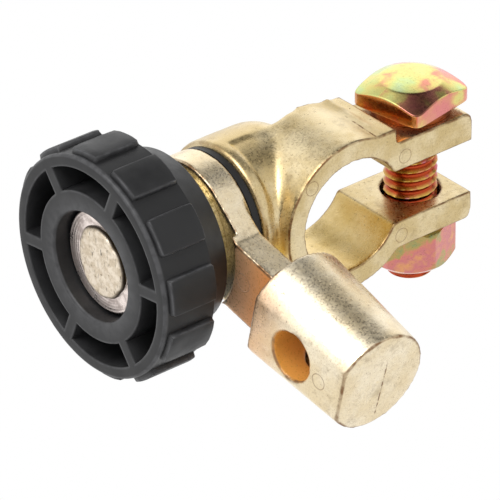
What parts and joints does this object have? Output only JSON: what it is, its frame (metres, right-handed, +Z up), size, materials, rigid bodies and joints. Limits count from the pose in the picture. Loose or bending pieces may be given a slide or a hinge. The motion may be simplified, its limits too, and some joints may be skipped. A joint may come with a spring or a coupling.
{
  "type": "battery disconnect switch",
  "caption": "Battery post clamp with a squeeze bolt, a swivelling cable lug and a ribbed screw knob that opens the contact between clamp and lug.",
  "frame": {"origin": "centre of the battery post bore on the clamp face that sits towards the battery", "axes": "+X along the contact stud to the knob, +Y along the clamp bolt to its head, +Z up the battery post, away from the battery"},
  "size_m": [0.0611, 0.0356, 0.058],
  "materials": {
    "cast_brass": "die cast, pale brass plated, fine grain",
    "turned_brass": "turned",
    "yellow_zinc_steel": "yellow chromated zinc with colour play",
    "turned_steel": "turned bright, fine circular lines",
    "dark_steel": "blackened",
    "bush_plastic": "moulded matte",
    "knob_plastic": "moulded matte with worn edges"
  },
  "bodies": {
    "clamp": {"clamp_casting": "cast_brass", "insulating_bush": "bush_plastic"},
    "lug": {"cable_lug": "cast_brass"},
    "set_screw": {"cable_set_screw": "dark_steel"},
    "bolt": {"clamp_bolt": "yellow_zinc_steel"},
    "nut": {"clamp_nut": "yellow_zinc_steel"},
    "washer": {"contact_washer": "turned_brass"},
    "knob": {"knob": "knob_plastic", "contact_stud": "turned_brass", "retaining_washer": "turned_steel"}
  },
  "joints": [
    {"name": "knob_turn", "type": "hinge", "parent": "washer", "child": "knob", "pos_m": [0, 0, 0.013], "axis": [1, 0, 0], "range_deg": [0, 720]},
    {"name": "washer_slide", "type": "slide", "parent": "clamp", "child": "washer", "axis": [1, 0, 0], "range_m": [0, 0.003]},
    {"name": "lug_swivel", "type": "hinge", "parent": "clamp", "child": "lug", "pos_m": [0, 0, 0.013], "axis": [1, 0, 0], "continuous": true},
    {"name": "nut_turn", "type": "hinge", "parent": "clamp", "child": "nut", "pos_m": [-0.0165, 0, 0.0067], "axis": [0, -1, 0], "range_deg": [0, 720]},
    {"name": "bolt_slide", "type": "slide", "parent": "clamp", "child": "bolt", "axis": [0, 1, 0], "range_m": [0, 0.00282]},
    {"name": "set_screw_slide", "type": "slide", "parent": "lug", "child": "set_screw", "axis": [0, -0.975, 0.2224], "range_m": [-0.003, 0.003]}
  ],
  "couplings": [
    {"joint": "knob_turn", "follows": "washer_slide", "rad_per_m": 4188.8},
    {"joint": "nut_turn", "follows": "bolt_slide", "rad_per_m": 4456.2}
  ]
}
